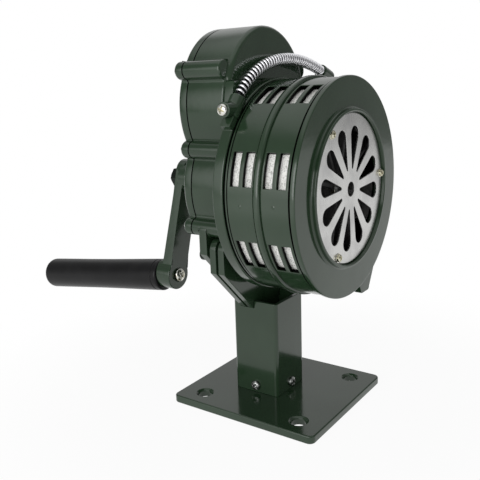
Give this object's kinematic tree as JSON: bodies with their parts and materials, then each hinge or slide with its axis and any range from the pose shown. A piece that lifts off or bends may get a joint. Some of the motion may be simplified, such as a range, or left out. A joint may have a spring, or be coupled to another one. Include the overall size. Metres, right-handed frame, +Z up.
{
  "type": "hand crank siren",
  "caption": "Hand crank siren: a slotted horn drum with a petal grille, geared crank with round grip, spring carrying handle, square post and bolt-down base plate.",
  "frame": {"origin": "centre of the base plate's underside, which is the centre of its four bolt holes", "axes": "+Z up along the post, the horn's mouth faces -Y, the crank and its grip are at +Y, +X is to the right seen from the horn's mouth side looking along +Y"},
  "size_m": [0.1622, 0.3109, 0.2935],
  "materials": {
    "enamel": "dark olive green gloss enamel",
    "satin_sheet": "satin",
    "plated": "bright zinc or nickel plate",
    "steel": "turned and ground",
    "bronze": "sintered",
    "cast_alloy": "rough cast",
    "black_grip": "satin black"
  },
  "bodies": {
    "frame": {"base_plate": "enamel", "post_socket": "enamel", "post": "enamel", "post_screws": "plated", "saddle_front": "enamel", "saddle_rear": "enamel", "saddle_spacers": "plated", "saddle_bolts": "plated", "gear_housing": "enamel", "rear_cover": "enamel", "cover_screws": "plated", "bearing_carrier": "enamel", "flange_screws": "plated", "rear_flange": "enamel", "stator_drum": "enamel", "front_cover": "enamel", "grille": "satin_sheet", "grille_washers": "plated", "grille_screws": "plated", "handle_core": "steel", "handle_spring": "plated", "handle_socket_left": "enamel", "handle_socket_right": "enamel", "handle_screws": "plated", "rotor_bearings": "steel", "intermediate_bushes": "bronze", "crank_bushes": "bronze"},
    "rotor": {"rotor": "cast_alloy", "rotor_shaft": "steel", "rotor_pinion": "steel", "rotor_nut": "plated"},
    "intermediate": {"intermediate_shaft": "steel", "intermediate_wheel": "steel", "intermediate_pinion": "steel"},
    "crank": {"crank_shaft": "steel", "crank_wheel": "steel", "crank_arm": "enamel", "crank_nut": "plated", "grip_pin": "plated", "grip_nut": "plated"},
    "grip": {"grip": "black_grip"}
  },
  "joints": [
    {"name": "crank_turn", "type": "hinge", "parent": "frame", "child": "crank", "pos_m": [0, 0, 0.1758], "axis": [0, 1, 0], "continuous": true},
    {"name": "grip_spin", "type": "hinge", "parent": "crank", "child": "grip", "pos_m": [-0.02218, 0.085, 0.09582], "axis": [-0.0326, 0.9925, -0.1174], "continuous": true},
    {"name": "intermediate_turn", "type": "hinge", "parent": "frame", "child": "intermediate", "pos_m": [0, 0, 0.2328], "axis": [0, 1, 0], "continuous": true},
    {"name": "rotor_turn", "type": "hinge", "parent": "frame", "child": "rotor", "pos_m": [0, 0, 0.1758], "axis": [0, 1, 0], "continuous": true}
  ],
  "couplings": [
    {"joint": "intermediate_turn", "follows": "crank_turn", "ratio": -3.75},
    {"joint": "rotor_turn", "follows": "crank_turn", "ratio": 14.062}
  ]
}
